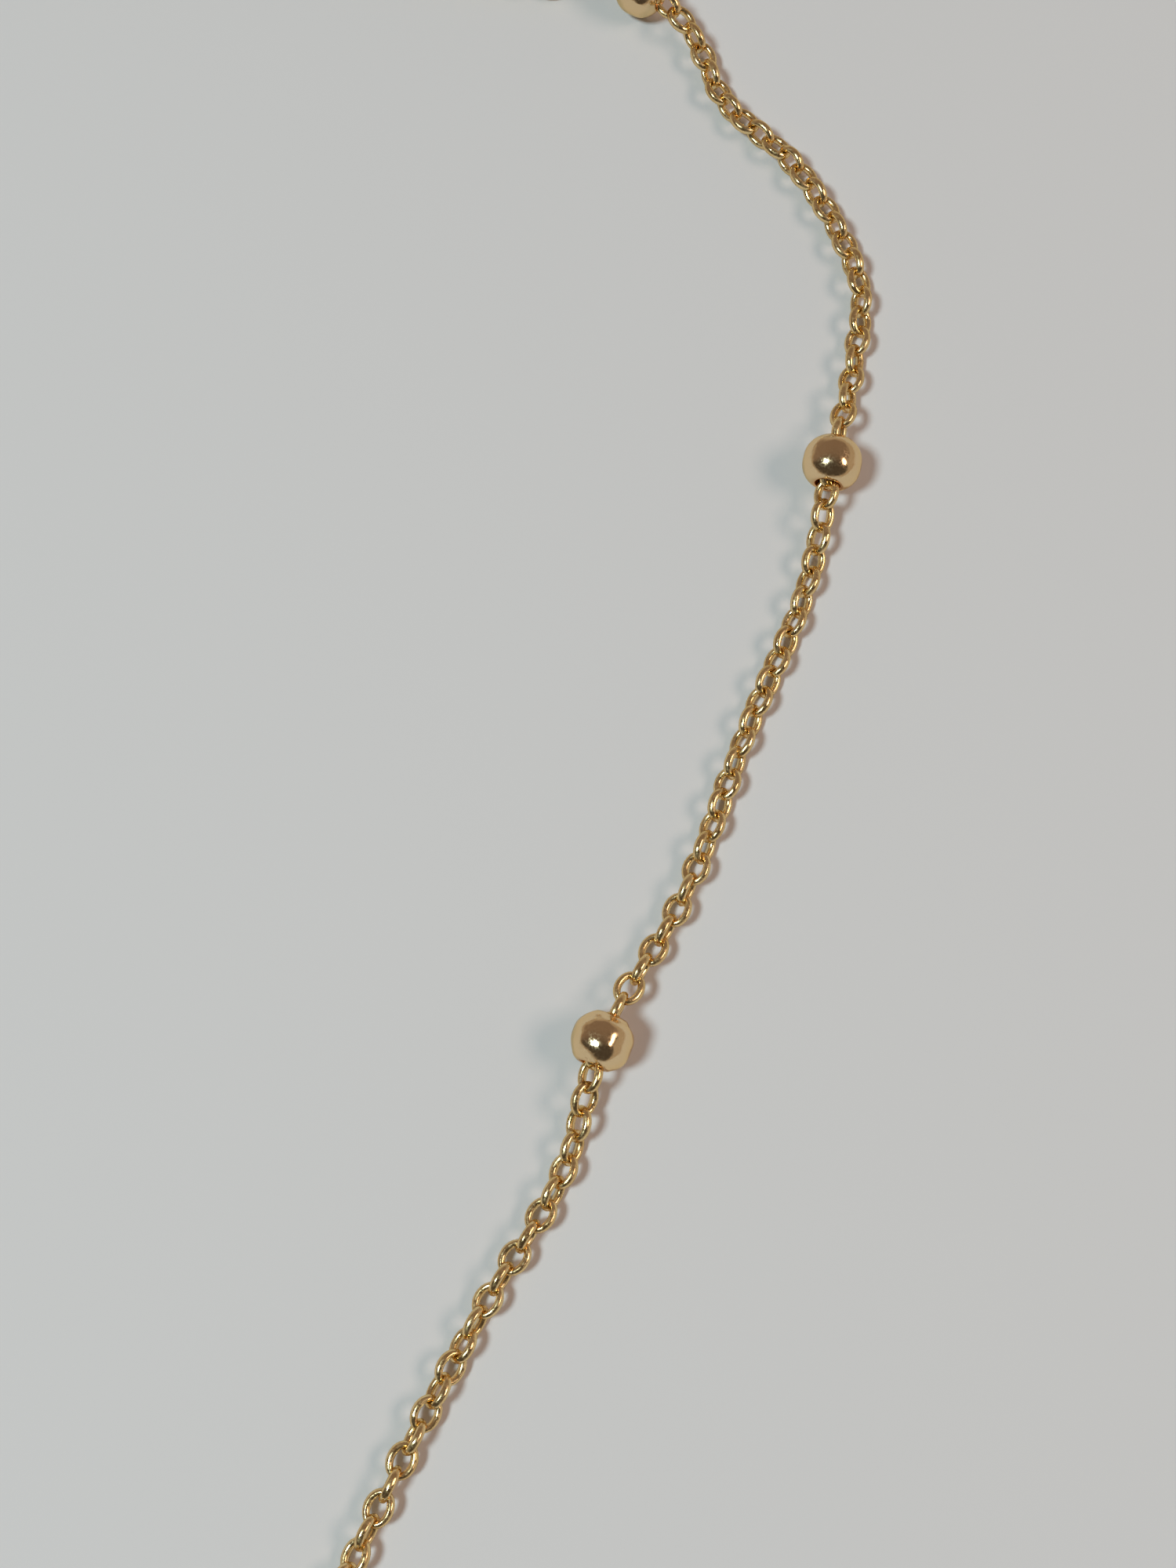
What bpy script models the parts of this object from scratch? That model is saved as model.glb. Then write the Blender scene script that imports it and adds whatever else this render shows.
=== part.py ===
# Long gold-tone chain necklace with polished drilled beads, lying in one loop on a flat surface.
# Metres, +Z up. The surface is z = 0, and the origin is the middle of the loop's box on it.

import bisect
import math

import bpy
from mathutils import Matrix, Vector
from mathutils.geometry import interpolate_bezier

MM = 0.001

# Chain: the tube that its interlocked links fill
CHAIN_RADIUS = 0.5 * MM
CHAIN_SIDES = 8

# Beads: radii are to the flats of the faceted solid
BEAD_RADIUS = 1.5 * MM
BEAD_LENGTH = 2.5 * MM
BEAD_BAND = 0.4 * MM
BEAD_RIM = 0.15 * MM
BEAD_SQUARENESS = 2.1
BEAD_SIDES = 12
BEAD_ARC_STEPS = 4
BORE_GAP = 0.15 * MM
BORE_LEAD = 0.4 * MM

# Pattern of the beads along the chain
BEAD_SPACING = 32.0 * MM
SHORTEST_END_RUN = 24.0 * MM

# Clasp: a ring with a small eye for the chain, and the round ring that it holds
CLASP_RADIUS = 2.4 * MM
CLASP_WIRE = 0.6 * MM
CLASP_TILT = math.radians(15.0)
EYE_RADIUS = 0.8 * MM
EYE_WIRE = 0.25 * MM
END_RING_RADIUS = 2.0 * MM
END_RING_WIRE = 0.3 * MM
END_RING_TILT = math.radians(-30.0)
JOINT_GAP = 0.3 * MM
RING_SIDES = 28
WIRE_SIDES = 8
SMALL_RING_SIDES = 20
SMALL_WIRE_SIDES = 6

# Route of the chain seen from above, in millimetres. It starts at the bead below the tight bend,
# runs down to the left, and comes back along the top.
ROUTE_MM = [
    (12.5, 16.8), (11.3, 11.0), (7.9, 2.7), (4.8, -5.4), (0.6, -13.0), (-1.0, -18.5), (-4.9, -25.2),
    (-8.5, -31.9), (-10.9, -36.9), (-26.0, -73.0), (-52.0, -122.0), (-92.0, -161.0), (-145.0, -181.0),
    (-200.0, -173.0), (-240.0, -135.0), (-256.0, -80.0), (-244.0, -22.0), (-205.0, 24.0),
    (-150.0, 50.0), (-88.0, 57.0), (-34.0, 51.0), (-4.0, 45.7), (3.4, 44.5), (5.7, 42.2), (7.4, 38.3),
    (11.0, 34.5), (13.2, 30.7), (14.4, 26.9), (14.0, 23.2),
]
ROUTE_STEPS = 24
HEADING_REACH = 0.5 * MM

# Where the tube bends between two beads, as shares of that run. The runs of the tight bend are
# counted from the route's first bead.
BEND_RUNS = (-2, -1, 0, 1)
BEND_STATIONS = (0.2, 0.5, 0.8)
PLAIN_STATIONS = (0.5,)

GOLD = (0.80, 0.55, 0.25, 1.0)
DEEP_GOLD = (0.70, 0.45, 0.18, 1.0)


class Route:
    """Closed smooth curve through the route's points, read by the length from its first point."""

    def __init__(self, corners):
        count = len(corners)
        chords = [(corners[(i + 1) % count] - corners[i]).length for i in range(count)]
        slopes = [self.slope(corners, chords, i) for i in range(count)]
        self.samples = []
        for i in range(count):
            start, end = corners[i], corners[(i + 1) % count]
            leave = start + slopes[i] * chords[i] / 3
            arrive = end - slopes[(i + 1) % count] * chords[i] / 3
            self.samples += interpolate_bezier(start, leave, arrive, end, ROUTE_STEPS)[:-1]
        self.samples.append(self.samples[0])
        self.lengths = [0.0]
        for start, end in zip(self.samples, self.samples[1:]):
            self.lengths.append(self.lengths[-1] + (end - start).length)
        self.total = self.lengths[-1]

    @staticmethod
    def slope(corners, chords, i):
        """Direction of the curve at a corner, weighted towards its nearer neighbour."""
        before, after = chords[i - 1], chords[i]
        arriving = (corners[i] - corners[i - 1]) / before
        leaving = (corners[(i + 1) % len(corners)] - corners[i]) / after
        return (arriving * after + leaving * before) / (before + after)

    def point(self, distance):
        distance %= self.total
        index = min(bisect.bisect_right(self.lengths, distance), len(self.lengths) - 1)
        span = self.lengths[index] - self.lengths[index - 1]
        share = (distance - self.lengths[index - 1]) / span
        return self.samples[index - 1].lerp(self.samples[index], share)

    def heading(self, distance):
        behind, ahead = self.point(distance - HEADING_REACH), self.point(distance + HEADING_REACH)
        return (ahead - behind).normalized()


def remove_all_objects():
    for item in list(bpy.data.objects):
        bpy.data.objects.remove(item, do_unlink=True)


def new_collection(name):
    collection = bpy.data.collections.new(name)
    bpy.context.scene.collection.children.link(collection)
    return collection


def new_metal(name, colour, roughness):
    material = bpy.data.materials.new(name)
    material.use_nodes = True
    shader = material.node_tree.nodes["Principled BSDF"]
    shader.inputs["Base Color"].default_value = colour
    shader.inputs["Metallic"].default_value = 1.0
    shader.inputs["Roughness"].default_value = roughness
    return material


def add_piece(name, data, material, collection, root):
    """A named solid in the necklace's collection, parented to its root."""
    data.materials.append(material)
    piece = bpy.data.objects.new(name, data)
    piece.parent = root
    collection.objects.link(piece)
    return piece


def place_across(piece, centre, heading, turn):
    """Put a piece at centre with its own X along heading, turned about that heading."""
    yaw = math.atan2(heading.y, heading.x)
    piece.location = centre
    piece.rotation_euler = (Matrix.Rotation(yaw, 3, "Z") @ Matrix.Rotation(turn, 3, "X")).to_euler()


def bead_outline():
    """Half section of a drilled bead: along its axis and out from it, from one mouth to the other."""
    corner = 1 / math.cos(math.pi / BEAD_SIDES)
    bore = CHAIN_RADIUS + BORE_GAP
    rim_share = (bore + BEAD_RIM) / BEAD_RADIUS
    half_length, half_band = BEAD_LENGTH / 2, BEAD_BAND / 2
    reach = (half_length - half_band) / (1 - rim_share**BEAD_SQUARENESS) ** (1 / BEAD_SQUARENESS)
    upper = []
    for step in range(BEAD_ARC_STEPS + 1):
        share = rim_share + (1 - rim_share) * math.sin(math.pi / 2 * step / BEAD_ARC_STEPS)
        along = half_band + reach * (1 - share**BEAD_SQUARENESS) ** (1 / BEAD_SQUARENESS)
        upper.append((along, share * BEAD_RADIUS * corner))
    lower = [(-along, out) for along, out in reversed(upper)]
    return upper + lower + [(-half_length, bore * corner), (half_length, bore * corner)]


def bead_profile():
    """The bead's section as a closed mesh outline, a half step round so that a flat faces down."""
    half_step = math.pi / BEAD_SIDES
    points = []
    for along, out in bead_outline():
        points.append((out * math.cos(half_step), out * math.sin(half_step), along))
    edges = [(i, (i + 1) % len(points)) for i in range(len(points))]
    profile = bpy.data.meshes.new("bead_profile")
    profile.from_pydata(points, edges, [])
    return profile


def add_bead(name, route, distance, material, collection, root):
    bead = add_piece(name, bead_profile(), material, collection, root)
    turned = bead.modifiers.new("turned", "SCREW")
    turned.axis = "Z"
    turned.steps = BEAD_SIDES
    turned.render_steps = BEAD_SIDES
    turned.use_merge_vertices = True
    turned.merge_threshold = 0.00001
    heading = route.heading(distance)
    yaw = Matrix.Rotation(math.atan2(heading.y, heading.x), 3, "Z")
    bead.location = route.point(distance) + Vector((0.0, 0.0, BEAD_RADIUS))
    bead.rotation_euler = (yaw @ Matrix.Rotation(math.pi / 2, 3, "Y")).to_euler()
    return bead


def bead_distances(route, clasp_length):
    """Lengths along the route to each bead, and to the middle of the gap that the clasp closes."""
    spare = route.total - clasp_length - 2 * SHORTEST_END_RUN
    count = int(spare / BEAD_SPACING) + 1
    first = -((count - 1) // 2)
    distances = {index: index * BEAD_SPACING for index in range(first, first + count)}
    last = first + count - 1
    middle = (distances[last] + distances[first] + route.total) / 2
    return distances, middle


def ring_mesh(name, radius, wire, sides, wire_sides):
    bpy.ops.mesh.primitive_torus_add(
        major_radius=radius, minor_radius=wire, major_segments=sides, minor_segments=wire_sides
    )
    ring = bpy.context.object
    mesh = ring.data
    mesh.name = name
    bpy.data.objects.remove(ring)
    return mesh


def ring_height(radius, wire, tilt):
    """Height of a tilted ring's centre when its lowest side touches the surface."""
    return radius * abs(math.sin(tilt)) + wire


def eye_offset():
    """From the clasp's centre to its eye's centre, whose wire is half sunk in the clasp's."""
    return CLASP_RADIUS + CLASP_WIRE + EYE_RADIUS


def add_clasp(route, middle, material, collection, root, cutters):
    """The clasp's ring, joined with its eye on the side of the chain's last run."""
    mesh = ring_mesh("clasp", CLASP_RADIUS, CLASP_WIRE, RING_SIDES, WIRE_SIDES)
    clasp = add_piece("clasp", mesh, material, collection, root)
    heading = route.heading(middle)
    height = ring_height(CLASP_RADIUS, CLASP_WIRE, CLASP_TILT)
    place_across(clasp, route.point(middle) + Vector((0.0, 0.0, height)), heading, CLASP_TILT)
    eye_mesh = ring_mesh("clasp_eye", EYE_RADIUS, EYE_WIRE, SMALL_RING_SIDES, SMALL_WIRE_SIDES)
    eye = bpy.data.objects.new("clasp_eye", eye_mesh)
    cutters.objects.link(eye)
    eye.parent = clasp
    eye.location = (-eye_offset(), 0.0, 0.0)
    eye.hide_render = True
    eye.display_type = "WIRE"
    joined = clasp.modifiers.new("eye", "BOOLEAN")
    joined.operation = "UNION"
    joined.object = eye
    return clasp


def add_end_ring(route, middle, material, collection, root):
    """The ring at the chain's first end. The clasp's wire runs through its middle."""
    mesh = ring_mesh("end_ring", END_RING_RADIUS, END_RING_WIRE, RING_SIDES, WIRE_SIDES)
    ring = add_piece("end_ring", mesh, material, collection, root)
    heading = route.heading(middle)
    height = ring_height(END_RING_RADIUS, END_RING_WIRE, END_RING_TILT)
    centre = route.point(middle) + heading * CLASP_RADIUS + Vector((0.0, 0.0, height))
    place_across(ring, centre, heading, END_RING_TILT)
    return ring


def chain_stations(route, distances, middle):
    """Points of the chain's tube, from the end ring through every bead to the clasp's eye."""
    floor = Vector((0.0, 0.0, CHAIN_RADIUS))
    raised = Vector((0.0, 0.0, BEAD_RADIUS))
    half_lead = BEAD_LENGTH / 2 + BORE_LEAD
    centre, heading = route.point(middle), route.heading(middle)
    start_reach = CLASP_RADIUS + END_RING_RADIUS + END_RING_WIRE + JOINT_GAP
    end_reach = eye_offset() + EYE_RADIUS + EYE_WIRE + JOINT_GAP
    start_height = ring_height(END_RING_RADIUS, END_RING_WIRE, END_RING_TILT)
    end_height = ring_height(CLASP_RADIUS, CLASP_WIRE, CLASP_TILT)

    stations = [centre + heading * start_reach + Vector((0.0, 0.0, start_height))]
    previous = middle - route.total + start_reach
    for index, distance in distances.items():
        shares = BEND_STATIONS if index - 1 in BEND_RUNS else PLAIN_STATIONS
        run = distance - half_lead - previous
        stations += [route.point(previous + share * run) + floor for share in shares]
        along = route.heading(distance) * half_lead
        bead_centre = route.point(distance) + raised
        stations += [bead_centre - along, bead_centre + along]
        previous = distance + half_lead
    run = middle - end_reach - previous
    stations += [route.point(previous + share * run) + floor for share in PLAIN_STATIONS]
    stations.append(centre - heading * end_reach + Vector((0.0, 0.0, end_height)))
    return stations


def add_chain(route, distances, middle, material, collection, root):
    curve = bpy.data.curves.new("chain", "CURVE")
    curve.dimensions = "3D"
    curve.bevel_depth = CHAIN_RADIUS
    curve.bevel_resolution = (CHAIN_SIDES - 4) // 2
    curve.use_fill_caps = True
    stations = chain_stations(route, distances, middle)
    spline = curve.splines.new("POLY")
    spline.points.add(len(stations) - 1)
    for point, place in zip(spline.points, stations):
        point.co = (*place, 1.0)
    return add_piece("chain", curve, material, collection, root)


def centre_on_origin(root, pieces):
    """Move the necklace so that the middle of its box's bottom is the origin."""
    bpy.context.view_layer.update()
    graph = bpy.context.evaluated_depsgraph_get()
    corners = []
    for piece in pieces:
        solid = piece.evaluated_get(graph)
        corners += [solid.matrix_world @ vertex.co for vertex in solid.to_mesh().vertices]
        solid.to_mesh_clear()
    low = Vector(min(corner[axis] for corner in corners) for axis in range(3))
    high = Vector(max(corner[axis] for corner in corners) for axis in range(3))
    root.location = (-(low.x + high.x) / 2, -(low.y + high.y) / 2, 0.0)


def build():
    remove_all_objects()
    collection = new_collection("necklace")
    cutters = new_collection("cutters")
    root = bpy.data.objects.new("necklace_root", None)
    collection.objects.link(root)

    bead_gold = new_metal("bead_gold", GOLD, 0.10)
    chain_gold = new_metal("chain_gold", DEEP_GOLD, 0.25)
    clasp_gold = new_metal("clasp_gold", GOLD, 0.20)
    ring_gold = new_metal("ring_gold", DEEP_GOLD, 0.20)

    route = Route([Vector((x * MM, y * MM, 0.0)) for x, y in ROUTE_MM])
    clasp_length = eye_offset() + EYE_RADIUS + CLASP_RADIUS + END_RING_RADIUS
    distances, middle = bead_distances(route, clasp_length)
    pieces = [
        add_chain(route, distances, middle, chain_gold, collection, root),
        add_clasp(route, middle, clasp_gold, collection, root, cutters),
        add_end_ring(route, middle, ring_gold, collection, root),
    ]
    for number, distance in enumerate(distances.values(), start=1):
        name = f"bead_{number:02d}"
        pieces.append(add_bead(name, route, distance, bead_gold, collection, root))
    centre_on_origin(root, pieces)


build()
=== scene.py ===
import bisect
import math

import bmesh
import bpy
from mathutils import Matrix, Vector, noise
from mathutils.geometry import interpolate_bezier


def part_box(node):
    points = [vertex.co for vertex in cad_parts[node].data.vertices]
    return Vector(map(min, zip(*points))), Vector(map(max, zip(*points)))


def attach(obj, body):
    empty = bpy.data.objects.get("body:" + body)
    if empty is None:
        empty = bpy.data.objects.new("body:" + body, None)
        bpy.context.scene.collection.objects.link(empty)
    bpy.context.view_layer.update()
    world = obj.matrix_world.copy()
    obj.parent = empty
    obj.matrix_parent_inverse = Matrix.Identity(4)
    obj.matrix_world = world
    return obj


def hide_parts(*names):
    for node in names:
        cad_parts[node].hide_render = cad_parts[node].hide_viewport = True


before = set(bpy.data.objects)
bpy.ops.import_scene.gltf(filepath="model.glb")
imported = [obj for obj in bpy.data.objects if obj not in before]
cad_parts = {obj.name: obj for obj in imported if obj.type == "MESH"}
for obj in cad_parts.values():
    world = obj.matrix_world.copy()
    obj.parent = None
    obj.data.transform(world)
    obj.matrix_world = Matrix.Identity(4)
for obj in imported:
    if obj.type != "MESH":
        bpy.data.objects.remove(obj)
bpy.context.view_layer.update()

mm = 0.001
weld = 0.001 * mm  # points closer than this are one

# Route of the chain from above, in millimetres, the same points as the solid tube's. It starts at
# the bead below the tight bend, runs down to the left and comes back along the top.
route = {
    "firstBead": "bead_12",
    "spacing": 32.0 * mm,
    "steps": 24,
    "points": [
        (12.5, 16.8), (11.3, 11.0), (7.9, 2.7), (4.8, -5.4), (0.6, -13.0), (-1.0, -18.5),
        (-4.9, -25.2), (-8.5, -31.9), (-10.9, -36.9), (-26.0, -73.0), (-52.0, -122.0),
        (-92.0, -161.0), (-145.0, -181.0), (-200.0, -173.0), (-240.0, -135.0), (-256.0, -80.0),
        (-244.0, -22.0), (-205.0, 24.0), (-150.0, 50.0), (-88.0, 57.0), (-34.0, 51.0), (-4.0, 45.7),
        (3.4, 44.5), (5.7, 42.2), (7.4, 38.3), (11.0, 34.5), (13.2, 30.7), (14.4, 26.9), (14.0, 23.2),
    ],
}


# Small helpers


def boxCentre(node):
    low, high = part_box(node)
    return (low + high) / 2


def put(tree, kind, inputs=None, **settings):
    node = tree.nodes.new(kind)
    for name, value in settings.items():
        setattr(node, name, value)
    for socket, value in (inputs or {}).items():
        if isinstance(value, bpy.types.NodeSocket):
            tree.links.new(value, node.inputs[socket])
        else:
            node.inputs[socket].default_value = value
    return node


def figure(tree, operation, *values):
    return put(tree, "ShaderNodeMath", dict(enumerate(values)), operation=operation).outputs[0]


def blendColours(tree, share, first, second):
    mix = put(tree, "ShaderNodeMix", {"Factor": share, 6: first, 7: second}, data_type="RGBA")
    return mix.outputs[2]


def easedBand(tree, value, band, reached=(0.0, 1.0)):
    # Goes softly from the first reached value to the second while value crosses the band
    node = put(tree, "ShaderNodeMapRange", {
        "Value": value, "From Min": band[0], "From Max": band[1],
        "To Min": reached[0], "To Max": reached[1],
    }, interpolation_type="SMOOTHSTEP")
    return node.outputs[0]


def cloudNoise(tree, place, scale, detail, roughness=0.5):
    node = put(tree, "ShaderNodeTexNoise", {
        "Vector": place, "Scale": scale, "Detail": detail, "Roughness": roughness,
    })
    return node.outputs["Fac"]


def newGroup(name, kind, inputs, outputs):
    tree = bpy.data.node_groups.new(name, kind)
    for label, socketType in inputs:
        tree.interface.new_socket(label, in_out="INPUT", socket_type=socketType)
    for label, socketType in outputs:
        tree.interface.new_socket(label, in_out="OUTPUT", socket_type=socketType)
    return tree, tree.nodes.new("NodeGroupInput"), tree.nodes.new("NodeGroupOutput")


def finishPiece(mesh, name, material, nodeName):
    mesh.materials.clear()
    mesh.materials.append(material)
    piece = bpy.data.objects.new(name, mesh)
    bpy.context.scene.collection.objects.link(piece)
    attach(piece, "root")
    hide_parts(nodeName)
    return piece


# The route, read by its length from the first bead


def laySamples():
    shift = boxCentre(route["firstBead"])
    corners = []
    for x, y in route["points"]:
        offset = Vector((x - route["points"][0][0], y - route["points"][0][1], 0.0)) * mm
        corners.append(Vector((shift.x, shift.y, 0.0)) + offset)
    count = len(corners)
    chords = [(corners[(i + 1) % count] - corners[i]).length for i in range(count)]
    slopes = []
    for i in range(count):
        arriving = (corners[i] - corners[i - 1]) / chords[i - 1]
        leaving = (corners[(i + 1) % count] - corners[i]) / chords[i]
        slopes.append((arriving * chords[i] + leaving * chords[i - 1]) / (chords[i - 1] + chords[i]))
    samples = []
    for i in range(count):
        after = (i + 1) % count
        leave = corners[i] + slopes[i] * chords[i] / 3
        arrive = corners[after] - slopes[after] * chords[i] / 3
        samples += interpolate_bezier(corners[i], leave, arrive, corners[after], route["steps"])[:-1]
    samples.append(samples[0])
    lengths = [0.0]
    for start, end in zip(samples, samples[1:]):
        lengths.append(lengths[-1] + (end - start).length)
    return samples, lengths


samples, lengths = laySamples()
routeLength = lengths[-1]


def routePoint(distance):
    distance %= routeLength
    index = min(bisect.bisect_right(lengths, distance), len(lengths) - 1)
    share = (distance - lengths[index - 1]) / (lengths[index] - lengths[index - 1])
    return samples[index - 1].lerp(samples[index], share)


def routeHeading(distance):
    reach = 0.5 * mm
    return (routePoint(distance + reach) - routePoint(distance - reach)).normalized()


# Each bead's length along the route, and the clasp's middle between the last and the first
beadNames = sorted(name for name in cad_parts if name.startswith("bead_"))
firstIndex = beadNames.index(route["firstBead"])
beadDistance = {name: (i - firstIndex) * route["spacing"] for i, name in enumerate(beadNames)}
claspMiddle = (beadDistance[beadNames[0]] + beadDistance[beadNames[-1]] + routeLength) / 2
print("route", round(routeLength / mm, 1), "mm,", len(beadNames), "beads")


# Finishes
goldFinishes = {
    "beadGold": {
        "Light Tint": (0.88, 0.67, 0.40, 1.0), "Deep Tint": (0.80, 0.57, 0.31, 1.0),
        "Tint Scale": 500.0, "Roughness": 0.09, "Roughness Spread": 0.14,
        "Mark Scale": 9000.0, "Mark Depth": 0.000002,
        "Wave Scale": 1500.0, "Wave Depth": 0.000030,
    },
    "linkGold": {
        "Light Tint": (0.95, 0.77, 0.44, 1.0), "Deep Tint": (0.78, 0.52, 0.21, 1.0),
        "Tint Scale": 900.0, "Roughness": 0.12, "Roughness Spread": 0.22,
        "Mark Scale": 5000.0, "Mark Depth": 0.000005,
        "Wave Scale": 1800.0, "Wave Depth": 0.000022,
    },
    "claspGold": {
        "Light Tint": (0.88, 0.67, 0.36, 1.0), "Deep Tint": (0.76, 0.52, 0.24, 1.0),
        "Tint Scale": 500.0, "Roughness": 0.10, "Roughness Spread": 0.12,
        "Mark Scale": 5000.0, "Mark Depth": 0.000002,
        "Wave Scale": 900.0, "Wave Depth": 0.000006,
    },
}

# The plate's tint where the surface is seen at a shallow angle
edgeTints = {
    "beadGold": (0.93, 0.82, 0.62, 1.0),
    "linkGold": (0.80, 0.62, 0.38, 1.0),
    "claspGold": (0.88, 0.74, 0.50, 1.0),
}

# What the three finishes share, among it the painted shade tint for the beads' bore mouths
plateWearAndShade = {
    # painted shade and reflection: the reddish brown laid into the beads' bores and at their mouths
    "mouthShadeTint": (0.66, 0.36, 0.18, 1.0),
    "dullBand": (0.38, 0.62),  # grain from which the plate turns dull
    "dentScale": 350.0,
    "dentBand": (0.42, 0.66),  # noise over which a place turns from smooth to dented
    "dentGain": (0.5, 2.6),  # depth of the waves outside and inside the dented places
}


def plateMarksAndShade():
    inputs = [(label, "NodeSocketColor") for label in ("Light Tint", "Deep Tint", "Mouth Shade Tint")]
    inputs += [(label, "NodeSocketFloat") for label in (
        "Tint Scale", "Roughness", "Roughness Spread", "Mark Scale", "Mark Depth", "Wave Scale",
        "Wave Depth", "Dent Scale", "Mouth Shade",
    )]
    outputs = [
        ("Colour", "NodeSocketColor"), ("Roughness", "NodeSocketFloat"), ("Normal", "NodeSocketVector"),
    ]
    tree, given, result = newGroup("plateMarksAndShade", "ShaderNodeTree", inputs, outputs)
    place = put(tree, "ShaderNodeTexCoord").outputs["Object"]
    cloud = cloudNoise(tree, place, given.outputs["Tint Scale"], detail=3.0)
    tint = blendColours(tree, cloud, given.outputs["Light Tint"], given.outputs["Deep Tint"])
    # Painted shade: the reddish-brown tint mixed in where the bore's mouth attribute is high
    mouthShaded = blendColours(tree, given.outputs["Mouth Shade"], tint, given.outputs["Mouth Shade Tint"])
    grain = cloudNoise(tree, place, given.outputs["Mark Scale"], detail=4.0, roughness=0.6)
    dull = easedBand(tree, grain, plateWearAndShade["dullBand"])
    spread = figure(tree, "MULTIPLY", dull, given.outputs["Roughness Spread"])
    rough = figure(tree, "ADD", spread, given.outputs["Roughness"])
    # Waves in the surface, which some places have much more of than others
    wave = cloudNoise(tree, place, given.outputs["Wave Scale"], detail=1.0)
    patch = cloudNoise(tree, place, given.outputs["Dent Scale"], detail=0.0)
    dented = easedBand(tree, patch, plateWearAndShade["dentBand"], plateWearAndShade["dentGain"])
    waveBump = put(tree, "ShaderNodeBump", {
        "Height": figure(tree, "MULTIPLY", wave, dented),
        "Distance": given.outputs["Wave Depth"], "Strength": 1.0,
    })
    markBump = put(tree, "ShaderNodeBump", {
        "Height": grain, "Distance": given.outputs["Mark Depth"], "Strength": 1.0,
        "Normal": waveBump.outputs["Normal"],
    })
    tree.links.new(mouthShaded, result.inputs["Colour"])
    tree.links.new(rough, result.inputs["Roughness"])
    tree.links.new(markBump.outputs["Normal"], result.inputs["Normal"])
    return tree


goldGroup = plateMarksAndShade()


def goldFinish(name):
    material = bpy.data.materials.new(name)
    material.use_nodes = True
    tree = material.node_tree
    shader = tree.nodes["Principled BSDF"]
    shader.inputs["Metallic"].default_value = 1.0
    shader.inputs["Specular Tint"].default_value = edgeTints[name]
    marksAndShade = put(tree, "ShaderNodeGroup", node_tree=goldGroup)
    for socket, value in goldFinishes[name].items():
        marksAndShade.inputs[socket].default_value = value
    marksAndShade.inputs["Dent Scale"].default_value = plateWearAndShade["dentScale"]
    marksAndShade.inputs["Mouth Shade Tint"].default_value = plateWearAndShade["mouthShadeTint"]
    if name == "beadGold":
        # Painted shade and reflection in the bore and at its mouths, read from the beads' attribute
        mouth = put(tree, "ShaderNodeAttribute", attribute_name="mouthShade")
        tree.links.new(mouth.outputs["Fac"], marksAndShade.inputs["Mouth Shade"])
    tree.links.new(marksAndShade.outputs["Colour"], shader.inputs["Base Color"])
    tree.links.new(marksAndShade.outputs["Roughness"], shader.inputs["Roughness"])
    tree.links.new(marksAndShade.outputs["Normal"], shader.inputs["Normal"])
    return material


beadGold = goldFinish("beadGold")
linkGold = goldFinish("linkGold")
claspGold = goldFinish("claspGold")
print("finishes made")


# Beads: a turned barrel with a rounded mouth at each end of its bore
beadShape = {
    "radius": 1.5 * mm,
    "length": 2.5 * mm,
    "band": 0.2 * mm,
    "bore": 0.65 * mm,
    "lip": 0.06 * mm,  # rounding of the bore's mouth
    "rim": 0.09 * mm,  # flat between that rounding and the barrel
    "squareness": 2.2,
    "dentDepths": (0.09 * mm, 0.03 * mm, 0.05 * mm, 0.015 * mm),
    "dentScale": 1100.0,  # hollows per metre
    "dentStep": 9.0 * mm,  # how far apart the beads read the same noise
    "dentLevel": 0.3,  # more of it dents more of the surface
    "dentFade": 3.0,  # how soon the dents start past the bore's mouth
    # how far past the bore the painted shade reaches
    "mouthShadeReach": 0.25 * mm,
    "waist": 0.45 * mm,  # the bore narrows to this inside
    "waistDepth": 0.3 * mm,
    "arcSteps": 14,
    "lipSteps": 5,
    "sides": 80,
}


def beadSection():
    shape = beadShape
    radius, bore, lip = shape["radius"], shape["bore"], shape["lip"]
    halfLength, halfBand, power = shape["length"] / 2, shape["band"] / 2, shape["squareness"]
    mouth = (bore + lip + shape["rim"]) / radius
    reach = (halfLength - halfBand) / (1 - mouth**power) ** (1 / power)
    upper = []
    for step in range(shape["lipSteps"] + 1):
        angle = math.pi / 2 * step / shape["lipSteps"]
        upper.append((halfLength - lip * (1 - math.sin(angle)), bore + lip * (1 - math.cos(angle))))
    for step in range(shape["arcSteps"] + 1):
        share = mouth + (1 - mouth) * math.sin(math.pi / 2 * step / shape["arcSteps"])
        upper.append((halfBand + reach * (1 - share**power) ** (1 / power), share * radius))
    upper.insert(0, (halfLength - shape["waistDepth"], shape["waist"]))
    return upper + [(-along, out) for along, out in reversed(upper)]


def turnedMesh(name, section, sides):
    mesh = bpy.data.meshes.new(name)
    work = bmesh.new()
    dots = [work.verts.new((out, 0.0, along)) for along, out in section]
    edges = [work.edges.new((dots[i - 1], dots[i])) for i in range(len(dots))]
    bmesh.ops.spin(
        work, geom=dots + edges, axis=(0, 0, 1), cent=(0, 0, 0), steps=sides,
        angle=2 * math.pi, use_merge=True,
    )
    bmesh.ops.remove_doubles(work, verts=work.verts, dist=weld)
    bmesh.ops.recalc_face_normals(work, faces=work.faces)
    work.to_mesh(mesh)
    work.free()
    mesh.shade_smooth()
    return mesh


def paintMouthShade(mesh):
    # Painted shade: 1 in the bore and at its mouths, fading out over the rim
    wear = mesh.attributes.new("mouthShade", "FLOAT", "POINT")
    for vertex, value in zip(mesh.vertices, wear.data):
        past = vertex.co.xy.length - beadShape["bore"]
        value.value = max(0.0, 1.0 - past / beadShape["mouthShadeReach"])


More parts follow.
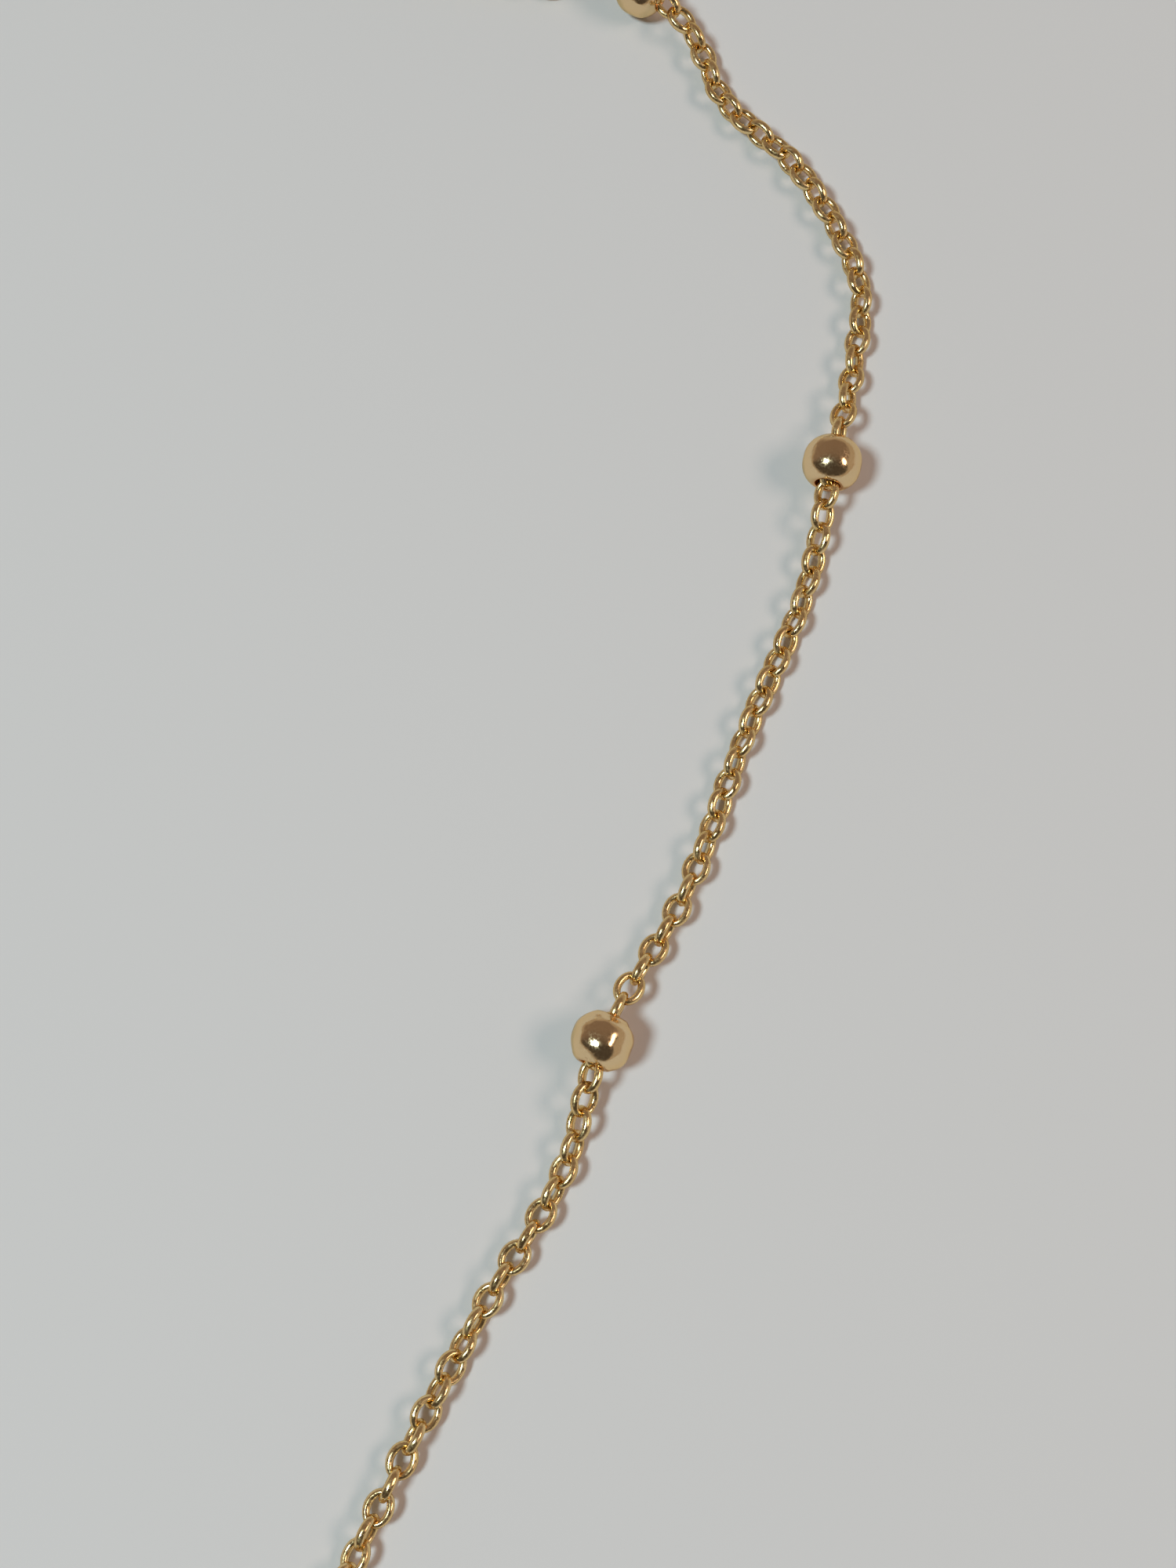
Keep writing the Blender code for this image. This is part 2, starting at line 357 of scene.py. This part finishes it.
def dentBead(mesh, index):
    # Shallow hollows pressed into the outer face, deeper on some beads than on others
    shape = beadShape
    depth = shape["dentDepths"][index % len(shape["dentDepths"])]
    edge = shape["bore"] + shape["lip"] + shape["rim"]
    start = Vector((shape["dentStep"] * index, 0.0, 0.0))
    moves = []
    for vertex in mesh.vertices:
        share = max(0.0, (vertex.co.xy.length - edge) / (shape["radius"] - edge))
        fade = min(1.0, shape["dentFade"] * share)
        level = noise.noise((vertex.co + start) * shape["dentScale"]) + shape["dentLevel"]
        moves.append(vertex.normal * (depth * fade * max(0.0, level)))
    for vertex, move in zip(mesh.vertices, moves):
        vertex.co -= move


def addBeads():
    master = turnedMesh("beadMaster", beadSection(), beadShape["sides"])
    paintMouthShade(master)
    for index, name in enumerate(beadNames):
        heading = routeHeading(beadDistance[name])
        yaw = Matrix.Rotation(math.atan2(heading.y, heading.x), 4, "Z")
        mesh = master.copy()
        dentBead(mesh, index)
        mesh.transform(Matrix.Translation(boxCentre(name)) @ yaw @ Matrix.Rotation(math.pi / 2, 4, "Y"))
        finishPiece(mesh, "polished_" + name, beadGold, name)
    bpy.data.meshes.remove(master)


addBeads()
print("beads made")


# Clasp and end ring, which the chain's last links hook over
claspShape = {
    "radius": 2.4 * mm,
    "wire": 0.6 * mm,
    "tilt": 15.0,
    "eyeRadius": 0.8 * mm,
    "eyeWire": 0.25 * mm,
    "ringRadius": 2.0 * mm,
    "ringWire": 0.3 * mm,
    "ringTilt": -30.0,
    "hookGap": 0.02 * mm,
    "ringFaces": (72, 28),  # round the ring and round its wire
    "eyeFaces": (40, 16),
    "endRingFaces": (64, 20),
    "sliver": 0.004 * mm,
}


def ringMesh(radius, wire, faces):
    steps, sides = faces
    angles = [2 * math.pi * side / sides for side in range(sides)]
    section = [(wire * math.sin(angle), radius + wire * math.cos(angle)) for angle in angles]
    return turnedMesh("ring", section, steps)


def tiltedPlace(forward, radius, wire, tilt):
    turn = math.radians(tilt)
    heading = routeHeading(claspMiddle)
    place = routePoint(claspMiddle) + heading * forward
    place.z = radius * abs(math.sin(turn)) + wire
    yaw = Matrix.Rotation(math.atan2(heading.y, heading.x), 4, "Z")
    return Matrix.Translation(place) @ yaw @ Matrix.Rotation(turn, 4, "X")


def dropSlivers(mesh):
    # The union leaves a few needle faces where ring and eye meet
    work = bmesh.new()
    work.from_mesh(mesh)
    bmesh.ops.remove_doubles(work, verts=work.verts, dist=claspShape["sliver"])
    bmesh.ops.dissolve_degenerate(work, edges=work.edges, dist=claspShape["sliver"])
    bmesh.ops.triangulate(work, faces=[face for face in work.faces if len(face.verts) > 4])
    work.to_mesh(mesh)
    work.free()


def addClasp():
    shape = claspShape
    place = tiltedPlace(0.0, shape["radius"], shape["wire"], shape["tilt"])
    ringWire = ringMesh(shape["radius"], shape["wire"], shape["ringFaces"])
    eyeWire = ringMesh(shape["eyeRadius"], shape["eyeWire"], shape["eyeFaces"])
    back = shape["radius"] + shape["wire"] + shape["eyeRadius"]
    eyeWire.transform(Matrix.Translation((-back, 0.0, 0.0)))
    ring = bpy.data.objects.new("claspRing", ringWire)
    eye = bpy.data.objects.new("claspEye", eyeWire)
    for part in (ring, eye):
        part.data.transform(place)
        bpy.context.scene.collection.objects.link(part)
    joined = ring.modifiers.new("eye", "BOOLEAN")
    joined.operation = "UNION"
    joined.object = eye
    graph = bpy.context.evaluated_depsgraph_get()
    mesh = bpy.data.meshes.new_from_object(ring.evaluated_get(graph))
    dropSlivers(mesh)
    mesh.shade_smooth()
    for part in (ring, eye):
        bpy.data.objects.remove(part)
    finishPiece(mesh, "ring_clasp", claspGold, "clasp")


def addEndRing():
    shape = claspShape
    radius, wire = shape["ringRadius"], shape["ringWire"]
    mesh = ringMesh(radius, wire, shape["endRingFaces"])
    mesh.transform(tiltedPlace(shape["radius"], radius, wire, shape["ringTilt"]))
    finishPiece(mesh, "round_end_ring", claspGold, "end_ring")


def eyeReach():
    # From the clasp's middle to the far side of its eye
    return claspShape["radius"] + claspShape["wire"] + 2 * claspShape["eyeRadius"]


def ringReach():
    return claspShape["radius"] + claspShape["ringRadius"]


# Chain: one oval link, set along the route by Geometry Nodes, every other one turned a quarter
chainLinks = {
    "length": 1.80 * mm,
    "width": 1.48 * mm,
    "wire": 0.33 * mm,
    "perSpacing": 28,
    "fineSteps": 26,
    "fineFlats": 8,
    "softness": 0.16,  # rounding of the flats' edges, as a share of the wire
    "depth": 1.18,  # the wire across the link's plane, as a share of its width in it
    "sideGain": 0.2,  # how much thicker the wire is at the link's long sides
    "plainSteps": 12,
    "plainSides": 5,
    "fineStretch": (-38.0 * mm, 62.0 * mm),  # along the route from the first bead
    "turnSpread": 7.0,
    "leanSpread": 5.0,
    "seed": 11,
    "drop": 4.6 * mm,  # length in which the chain comes down from a bead
    # Turn of the links about the chain, as (millimetres from the first bead, degrees)
    "turns": [
        (-40.0, 45.0), (-28.0, 70.0), (-13.0, 66.0), (-9.0, 50.0), (-6.6, 37.0), (-1.7, 25.0),
        (1.0, 45.0), (14.0, 43.0), (20.0, 38.0), (22.0, 27.0), (24.3, 16.0), (27.0, 13.0),
        (29.2, 3.0), (30.8, 0.0), (33.0, 48.0), (35.5, 48.0), (36.8, 36.0), (38.5, 27.0),
        (40.0, 18.0), (42.0, 12.0), (43.4, 4.0), (45.6, 20.0), (46.9, 28.0), (48.0, 56.0),
        (50.0, 62.0), (51.3, 70.0), (52.7, 77.0), (53.8, 90.0), (55.5, 95.0), (57.0, 112.0),
        (59.0, 135.0),
    ],
}


def supports():
    # What lifts the chain off the floor: (length along the route, half its own length, height)
    shape = claspShape
    held = [(beadDistance[name], beadShape["length"] / 2, beadShape["radius"]) for name in beadNames]
    eyeHeight = shape["radius"] * math.sin(math.radians(shape["tilt"])) + shape["wire"]
    ringHeight = shape["ringRadius"] * abs(math.sin(math.radians(shape["ringTilt"]))) + shape["ringWire"]
    held.append((claspMiddle, eyeReach() + shape["eyeWire"], eyeHeight))
    held.append((claspMiddle - routeLength, ringReach() + shape["ringWire"], ringHeight))
    return held


def endLink(reach, wireRadius):
    # Distance from the clasp's middle to the middle of the link that hooks over that wire
    hooked = wireRadius + chainLinks["wire"] / 2 + claspShape["hookGap"]
    return reach - hooked + (chainLinks["length"] - chainLinks["wire"]) / 2


def linkDistances():
    pitch = route["spacing"] / chainLinks["perSpacing"]
    first, last = beadDistance[beadNames[0]], beadDistance[beadNames[-1]]
    start = claspMiddle - routeLength + endLink(ringReach(), claspShape["ringWire"])
    end = claspMiddle - endLink(eyeReach(), claspShape["eyeWire"])
    between = [first + (k + 0.5) * pitch for k in range(round((last - first) / pitch))]
    before = math.ceil((between[0] - start) / pitch)
    after = math.ceil((end - between[-1]) / pitch)
    leading = [start + (between[0] - start) * k / before for k in range(before)]
    trailing = [between[-1] + (end - between[-1]) * (k + 1) / after for k in range(after)]
    return leading + between + trailing


def linkTurn(distance):
    turns = chainLinks["turns"]
    place = min(max(distance / mm, turns[0][0]), turns[-1][0])
    index = min(bisect.bisect_right([row[0] for row in turns], place), len(turns) - 1)
    (before, turnBefore), (after, turnAfter) = turns[index - 1], turns[index]
    share = (place - before) / (after - before)
    return math.radians(turnBefore + share * (turnAfter - turnBefore))


def linkHeight(distance, turn, held):
    # High enough for this link and for the next one, a quarter turn on, to clear the floor
    wide = chainLinks["wire"] * (1 + chainLinks["sideGain"]) / 2
    deep = wide * chainLinks["depth"]
    half = chainLinks["width"] / 2 - wide
    spread = math.radians(chainLinks["turnSpread"])
    floor = 0.0
    for angle in (turn - spread, turn, turn + spread):
        for steep, flat in ((math.sin(angle), math.cos(angle)), (math.cos(angle), math.sin(angle))):
            floor = max(floor, half * abs(steep) + math.hypot(wide * steep, deep * flat))
    height = floor
    for middle, halfLength, supportHeight in held:
        past = max(0.0, abs(distance - middle) - halfLength)
        if past < chainLinks["drop"]:
            lift = 0.5 + 0.5 * math.cos(math.pi * past / chainLinks["drop"])
            height = max(height, floor + (supportHeight - floor) * lift)
    return height


def linkPath():
    held = supports()
    distances = linkDistances()
    curve = bpy.data.curves.new("linkPath", "CURVE")
    curve.dimensions = "3D"
    curve.twist_mode = "Z_UP"
    spline = curve.splines.new("POLY")
    spline.points.add(len(distances) - 1)
    for point, distance in zip(spline.points, distances):
        turn = linkTurn(distance)
        place = routePoint(distance)
        point.co = (place.x, place.y, linkHeight(distance, turn, held), 1.0)
        point.tilt = turn
    path = bpy.data.objects.new("linkPath", curve)
    bpy.context.scene.collection.objects.link(path)
    fineStart, fineEnd = chainLinks["fineStretch"]
    fine = [i for i, distance in enumerate(distances) if fineStart < distance < fineEnd]
    return path, fine[0], fine[-1]


def linkMesh(tree, given, quality):
    # An oval of wire, round where it isn't seen closely and with softened flats where it is
    sizes = given.outputs
    sideWire = figure(tree, "MULTIPLY", sizes["Wire"], figure(tree, "ADD", sizes["Side Gain"], 1.0))
    across = figure(tree, "SUBTRACT", sizes["Width"], sideWire)
    along = figure(tree, "SUBTRACT", sizes["Length"], sizes["Wire"])
    outline = put(tree, "GeometryNodeCurvePrimitiveCircle", {
        "Resolution": sizes[quality + " Steps"], "Radius": 0.5,
    })
    oval = put(tree, "GeometryNodeTransform", {
        "Geometry": outline.outputs["Curve"], "Rotation": (math.pi / 2, 0.0, 0.0),
        "Scale": put(tree, "ShaderNodeCombineXYZ", {"X": across, "Y": along, "Z": 1.0}).outputs[0],
    })
    wire = put(tree, "GeometryNodeCurvePrimitiveCircle", {
        "Resolution": sizes[quality + " Sides"], "Radius": figure(tree, "MULTIPLY", sizes["Wire"], 0.5),
    })
    if quality == "Fine":
        wire = put(tree, "GeometryNodeFilletCurve", {
            "Curve": wire.outputs["Curve"], "Count": 1, "Limit Radius": True,
            "Radius": figure(tree, "MULTIPLY", sizes["Wire"], sizes["Softness"]),
        }, mode="POLY")
    deep = put(tree, "ShaderNodeCombineXYZ", {"X": 1.0, "Y": sizes["Depth"], "Z": 1.0}).outputs[0]
    section = put(tree, "GeometryNodeTransform", {"Geometry": wire.outputs["Curve"], "Scale": deep})
    # Thicker towards the long sides, by the distance from the link's middle line
    spot = put(tree, "ShaderNodeSeparateXYZ", {0: put(tree, "GeometryNodeInputPosition").outputs[0]})
    share = figure(tree, "DIVIDE", figure(tree, "ABSOLUTE", spot.outputs["X"]), across)
    gain = figure(tree, "MULTIPLY", share, sizes["Side Gain"])
    return put(tree, "GeometryNodeCurveToMesh", {
        "Curve": oval.outputs["Geometry"], "Profile Curve": section.outputs["Geometry"],
        "Scale": figure(tree, "MULTIPLY_ADD", gain, 2.0, 1.0),
    })


def evenChance(tree, spread, seed):
    # For each point a random value from minus the spread to plus the spread
    low = figure(tree, "MULTIPLY", spread, -1.0)
    node = put(tree, "FunctionNodeRandomValue", {2: low, 3: spread, "Seed": seed}, data_type="FLOAT")
    return node.outputs[1]


def turnedBy(tree, rotation, axis, angle):
    turn = put(tree, "FunctionNodeAxisAngleToRotation", {"Axis": axis, "Angle": angle})
    node = put(tree, "FunctionNodeRotateRotation", {
        "Rotation": rotation, "Rotate By": turn.outputs[0],
    }, rotation_space="LOCAL")
    return node.outputs[0]


def indexTest(tree, index, operation, limit):
    node = put(tree, "FunctionNodeCompare", {"A": index, "B": limit}, data_type="INT", operation=operation)
    return node.outputs[0]


def linkTree():
    inputs = [("Path", "NodeSocketGeometry"), ("Finish", "NodeSocketMaterial")]
    inputs += [(label, "NodeSocketFloat") for label in (
        "Length", "Width", "Wire", "Softness", "Depth", "Side Gain", "Turn Spread", "Lean Spread",
    )]
    inputs += [(label, "NodeSocketInt") for label in (
        "Fine Steps", "Fine Sides", "Plain Steps", "Plain Sides", "Fine From", "Fine To", "Seed",
    )]
    outputs = [("Chain", "NodeSocketGeometry")]
    tree, given, result = newGroup("linksOnPath", "GeometryNodeTree", inputs, outputs)
    points = put(tree, "GeometryNodeCurveToPoints", {"Curve": given.outputs["Path"]}, mode="EVALUATED")
    index = put(tree, "GeometryNodeInputIndex").outputs[0]
    seed = given.outputs["Seed"]
    quarter = figure(tree, "MULTIPLY", figure(tree, "MODULO", index, 2.0), math.pi / 2)
    turn = figure(tree, "ADD", quarter, evenChance(tree, given.outputs["Turn Spread"], seed))
    turned = turnedBy(tree, points.outputs["Rotation"], (0.0, 0.0, 1.0), turn)
    lean = evenChance(tree, given.outputs["Lean Spread"], figure(tree, "ADD", seed, 1.0))
    leaned = turnedBy(tree, turned, (0.0, 1.0, 0.0), lean)
    pastStart = indexTest(tree, index, "GREATER_EQUAL", given.outputs["Fine From"])
    beforeEnd = indexTest(tree, index, "LESS_EQUAL", given.outputs["Fine To"])
    isFine = put(tree, "FunctionNodeBooleanMath", {0: pastStart, 1: beforeEnd}, operation="AND").outputs[0]
    isPlain = put(tree, "FunctionNodeBooleanMath", {0: isFine}, operation="NOT").outputs[0]
    joined = put(tree, "GeometryNodeJoinGeometry")
    for quality, chosen in (("Fine", isFine), ("Plain", isPlain)):
        placed = put(tree, "GeometryNodeInstanceOnPoints", {
            "Points": points.outputs["Points"], "Selection": chosen,
            "Instance": linkMesh(tree, given, quality).outputs["Mesh"], "Rotation": leaned,
        })
        tree.links.new(placed.outputs["Instances"], joined.inputs[0])
    realized = put(tree, "GeometryNodeRealizeInstances", {"Geometry": joined.outputs[0]})
    smooth = put(tree, "GeometryNodeSetShadeSmooth", {"Geometry": realized.outputs[0], "Shade Smooth": True})
    finished = put(tree, "GeometryNodeSetMaterial", {
        "Geometry": smooth.outputs[0], "Material": given.outputs["Finish"],
    })
    tree.links.new(finished.outputs[0], result.inputs["Chain"])
    return tree


def setInput(modifier, label, value):
    for socket in modifier.node_group.interface.items_tree:
        if socket.name == label and socket.in_out == "INPUT":
            modifier[socket.identifier] = value


def addChain():
    path, fineFrom, fineTo = linkPath()
    links = path.modifiers.new("links", "NODES")
    links.node_group = linkTree()
    sizes = {
        "Length": chainLinks["length"], "Width": chainLinks["width"], "Wire": chainLinks["wire"],
        "Softness": chainLinks["softness"], "Depth": chainLinks["depth"],
        "Side Gain": chainLinks["sideGain"],
        "Turn Spread": math.radians(chainLinks["turnSpread"]),
        "Lean Spread": math.radians(chainLinks["leanSpread"]),
        "Fine Steps": chainLinks["fineSteps"], "Fine Sides": chainLinks["fineFlats"],
        "Plain Steps": chainLinks["plainSteps"], "Plain Sides": chainLinks["plainSides"],
        "Fine From": fineFrom, "Fine To": fineTo, "Seed": chainLinks["seed"], "Finish": linkGold,
    }
    for label, value in sizes.items():
        setInput(links, label, value)
    graph = bpy.context.evaluated_depsgraph_get()
    mesh = bpy.data.meshes.new_from_object(path.evaluated_get(graph))
    bpy.data.objects.remove(path)
    piece = finishPiece(mesh, "chain_links", linkGold, "chain")
    print("chain", fineTo - fineFrom + 1, "fine links,", len(piece.data.polygons), "faces")


addChain()
addClasp()
addEndRing()
print("clasp and end ring made")


# Floor, light and camera

studio = {
    "floorSize": 3.0,
    "floorColour": (0.81, 0.79, 0.80, 1.0),
    "floorShade": 0.985,  # of that colour in the floor's darker clouds
    "floorClouds": 25.0,  # their scale
    "floorRoughness": 0.9,
    "floorSheen": 0.2,
    "overheadNear": (0.068, 0.057, 0.048, 1.0),
    "overheadFar": (0.22, 0.165, 0.135, 1.0),
    "walls": (0.40, 0.34, 0.275, 1.0),
    # Degrees from straight up where the dim overhead ends: to the left, right, near and far side
    "overheadEnds": (-84.0, 64.0, -89.0, 75.0),
    "overheadEdge": (0.92, 1.04),
    "overheadFade": (-0.6, 0.7),  # slope to the far side over which near turns into far
    "horizon": 0.01,
    "lightDistance": 0.6,
    "keyFrom": (-0.565, -0.233, 1.0),
    "keySize": (0.14, 0.13),
    "keyPower": 1.86,
    "keyColour": (0.76, 0.96, 1.0),
    "fillFrom": (0.95, -0.1, 1.0),
    "fillSize": (0.32, 0.18),
    "fillPower": 0.88,
    "fillColour": (1.0, 0.78, 0.66),
}


def addFloor():
    mesh = bpy.data.meshes.new("floor")
    work = bmesh.new()
    bmesh.ops.create_grid(work, x_segments=1, y_segments=1, size=studio["floorSize"] / 2)
    work.to_mesh(mesh)
    work.free()
    material = bpy.data.materials.new("paleFloor")
    material.use_nodes = True
    tree = material.node_tree
    shader = tree.nodes["Principled BSDF"]
    shader.inputs["Roughness"].default_value = studio["floorRoughness"]
    shader.inputs["Specular IOR Level"].default_value = studio["floorSheen"]
    place = put(tree, "ShaderNodeTexCoord").outputs["Object"]
    cloud = cloudNoise(tree, place, studio["floorClouds"], detail=2.0)
    red, green, blue, alpha = studio["floorColour"]
    shade = studio["floorShade"]
    darker = (red * shade, green * shade, blue * shade, alpha)
    tint = blendColours(tree, cloud, studio["floorColour"], darker)
    tree.links.new(tint, shader.inputs["Base Color"])
    mesh.materials.append(material)
    floor = bpy.data.objects.new("floor", mesh)
    bpy.context.scene.collection.objects.link(floor)


def addLight(name, direction, size, power, colour):
    data = bpy.data.lights.new(name, "AREA")
    data.shape = "ELLIPSE"
    data.size, data.size_y = size
    data.energy = power
    data.color = colour
    lamp = bpy.data.objects.new(name, data)
    aim = Vector(direction).normalized()
    centre = boxCentre(route["firstBead"])
    lamp.location = centre + aim * studio["lightDistance"]
    lamp.rotation_euler = aim.to_track_quat("Z", "Y").to_euler()
    bpy.context.scene.collection.objects.link(lamp)


def addSurroundings():
    # A dim square overhead and pale walls round it, as a room gives
    world = bpy.data.worlds.new("room")
    bpy.context.scene.world = world
    world.use_nodes = True
    tree = world.node_tree
    tree.nodes.clear()
    way = put(tree, "ShaderNodeSeparateXYZ", {0: put(tree, "ShaderNodeTexCoord").outputs["Generated"]})
    height = figure(tree, "MAXIMUM", way.outputs["Z"], studio["horizon"])
    left, right, near, far = [math.radians(end) for end in studio["overheadEnds"]]
    spans = []
    for axis, low, high in (("X", left, right), ("Y", near, far)):
        angle = figure(tree, "ARCTANGENT", figure(tree, "DIVIDE", way.outputs[axis], height))
        off = figure(tree, "SUBTRACT", angle, (low + high) / 2)
        spans.append(figure(tree, "DIVIDE", figure(tree, "ABSOLUTE", off), (high - low) / 2))
    edge = easedBand(tree, figure(tree, "MAXIMUM", *spans), studio["overheadEdge"])
    slope = figure(tree, "DIVIDE", way.outputs["Y"], height)
    farSide = easedBand(tree, slope, studio["overheadFade"])
    overhead = blendColours(tree, farSide, studio["overheadNear"], studio["overheadFar"])
    room = blendColours(tree, edge, overhead, studio["walls"])
    shader = put(tree, "ShaderNodeBackground", {"Color": room, "Strength": 1.0})
    out = put(tree, "ShaderNodeOutputWorld")
    tree.links.new(shader.outputs[0], out.inputs["Surface"])


# Camera at the photograph's angle. The look-at point is on the floor, from the first bead.
camera = {
    "lens": 46.8,
    "sensor": 36.0,
    "tilt": 14.8,
    "distance": 101.3 * mm,
    "nearest": 1.0 * mm,
    "lookAt": (-12.46 * mm, -16.57 * mm),
}


def addCamera():
    data = bpy.data.cameras.new("photoCamera")
    data.lens = camera["lens"]
    data.sensor_width = camera["sensor"]
    data.clip_start = camera["nearest"]
    eye = bpy.data.objects.new("photoCamera", data)
    tilt = math.radians(camera["tilt"])
    first = boxCentre(route["firstBead"])
    target = Vector((first.x + camera["lookAt"][0], first.y + camera["lookAt"][1], 0.0))
    eye.location = target + Vector((0.0, -math.sin(tilt), math.cos(tilt))) * camera["distance"]
    eye.rotation_euler = (tilt, 0.0, 0.0)
    bpy.context.scene.collection.objects.link(eye)
    bpy.context.scene.camera = eye


bpy.context.scene.view_settings.view_transform = "Standard"
addFloor()
addLight("keyLight", studio["keyFrom"], studio["keySize"], studio["keyPower"], studio["keyColour"])
addLight("fillLight", studio["fillFrom"], studio["fillSize"], studio["fillPower"], studio["fillColour"])
addSurroundings()
addCamera()
print("floor, light and camera set")
